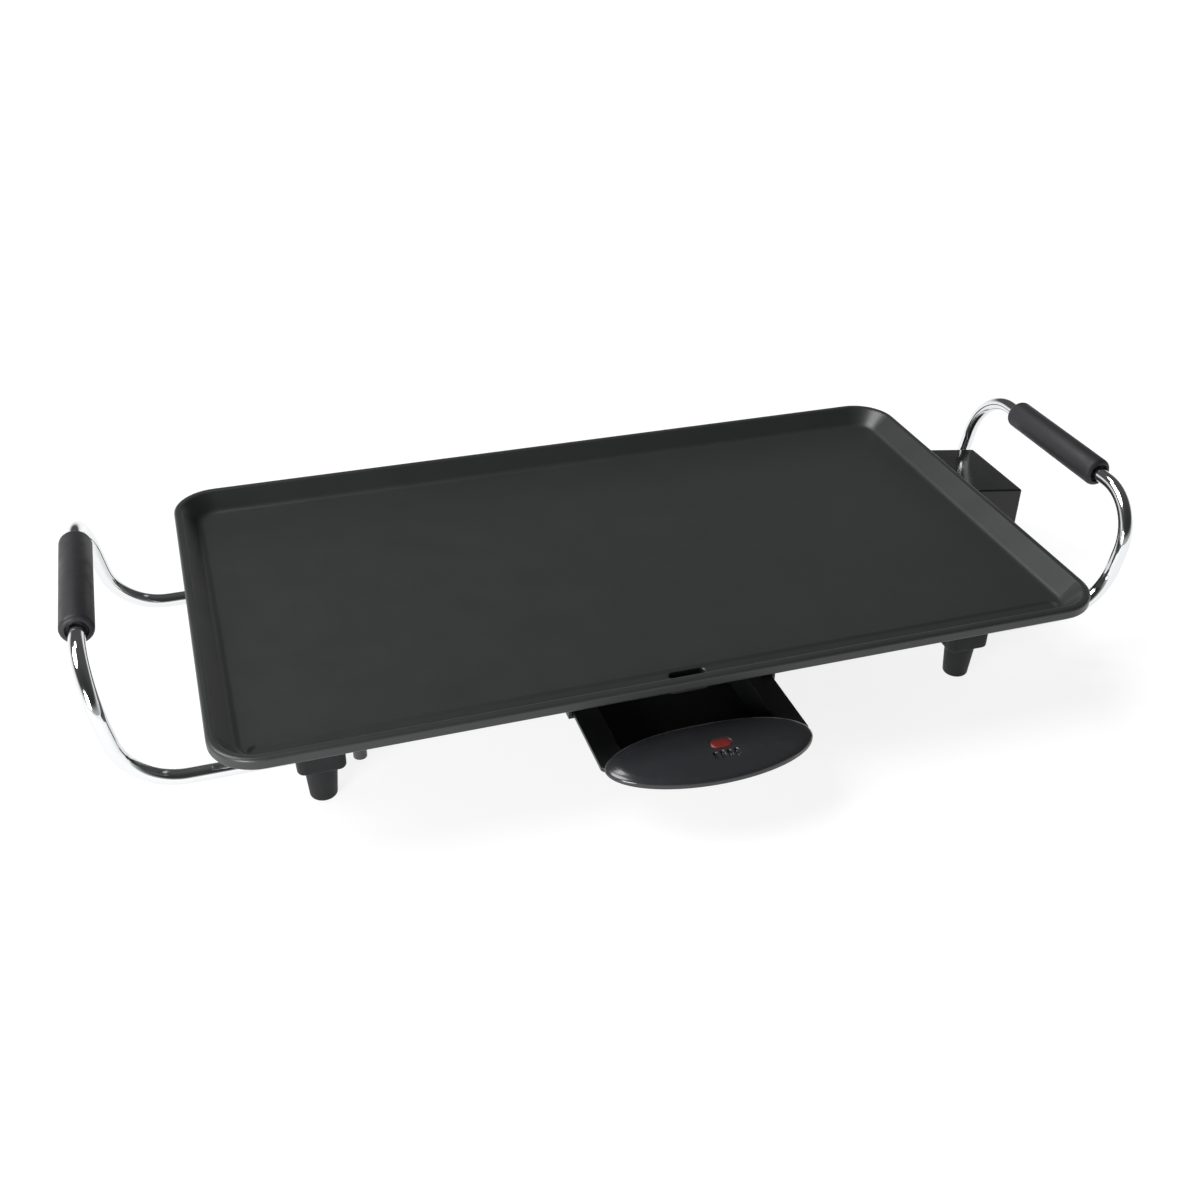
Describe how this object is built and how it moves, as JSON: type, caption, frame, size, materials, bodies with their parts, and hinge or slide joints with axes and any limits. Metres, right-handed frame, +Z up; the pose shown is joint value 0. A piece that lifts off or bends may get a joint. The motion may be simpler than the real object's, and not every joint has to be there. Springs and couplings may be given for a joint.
{
  "type": "electric griddle",
  "caption": "Rectangular electric griddle with a rimmed non-stick plate, wire handles with grips, a thermostat socket and a slide-out drip tray.",
  "frame": {"origin": "middle of the whole object's footprint, on the surface that the feet rest on, with the drip tray closed", "axes": "+X along the long side towards the thermostat socket, +Y to the back, away from the drip tray's handle, +Z up"},
  "size_m": [0.575, 0.299, 0.1008],
  "materials": {
    "nonstick_coating": "semi-matt dark grey non-stick coating on a cast aluminium plate",
    "element_sheath": "dull heat-darkened steel sheath",
    "plated_steel": "zinc-plated steel, satin",
    "blackened_steel": "blackened steel, dull",
    "contact_metal": "bright nickel-plated contact surface",
    "ceramic": "off-white ceramic, matt",
    "earth_brass": "satin brass strip",
    "socket_plastic": "black moulded heat-resistant plastic, semi-gloss",
    "foot_plastic": "black phenolic plastic, low sheen",
    "chrome_rod": "bright chrome plate",
    "grip_plastic": "black phenolic plastic, soft sheen",
    "tray_plastic": "black moulded plastic, semi-gloss",
    "tray_handle_gloss": "black moulded plastic, polished",
    "badge_red": "plain red inlay, glossy"
  },
  "bodies": {
    "griddle": {"griddle_plate": "nonstick_coating", "heating_element": "element_sheath", "element_clamps": "plated_steel", "clamp_screws": "plated_steel", "terminal_pin_front": "contact_metal", "terminal_pin_back": "contact_metal", "pin_bush_front": "ceramic", "pin_bush_back": "ceramic", "probe_guide": "contact_metal", "socket_shell_upper": "socket_plastic", "socket_shell_lower": "socket_plastic", "socket_screws": "plated_steel", "earth_contacts": "earth_brass", "foot_front_left": "foot_plastic", "foot_back_left": "foot_plastic", "foot_front_right": "foot_plastic", "foot_back_right": "foot_plastic", "foot_screws": "plated_steel", "handle_rod_left": "chrome_rod", "handle_rod_right": "chrome_rod", "grip_left": "grip_plastic", "grip_right": "grip_plastic", "rod_screws_left": "plated_steel", "rod_screws_right": "plated_steel", "tray_rail_left": "blackened_steel", "tray_rail_right": "blackened_steel", "rail_screws": "plated_steel"},
    "tray": {"drip_tray": "tray_plastic", "tray_handle": "tray_handle_gloss", "tray_badge": "badge_red", "tray_screws": "plated_steel"}
  },
  "joints": [
    {"name": "tray_slide", "type": "slide", "parent": "griddle", "child": "tray", "axis": [0, -1, 0], "range_m": [0, 0.07]}
  ]
}
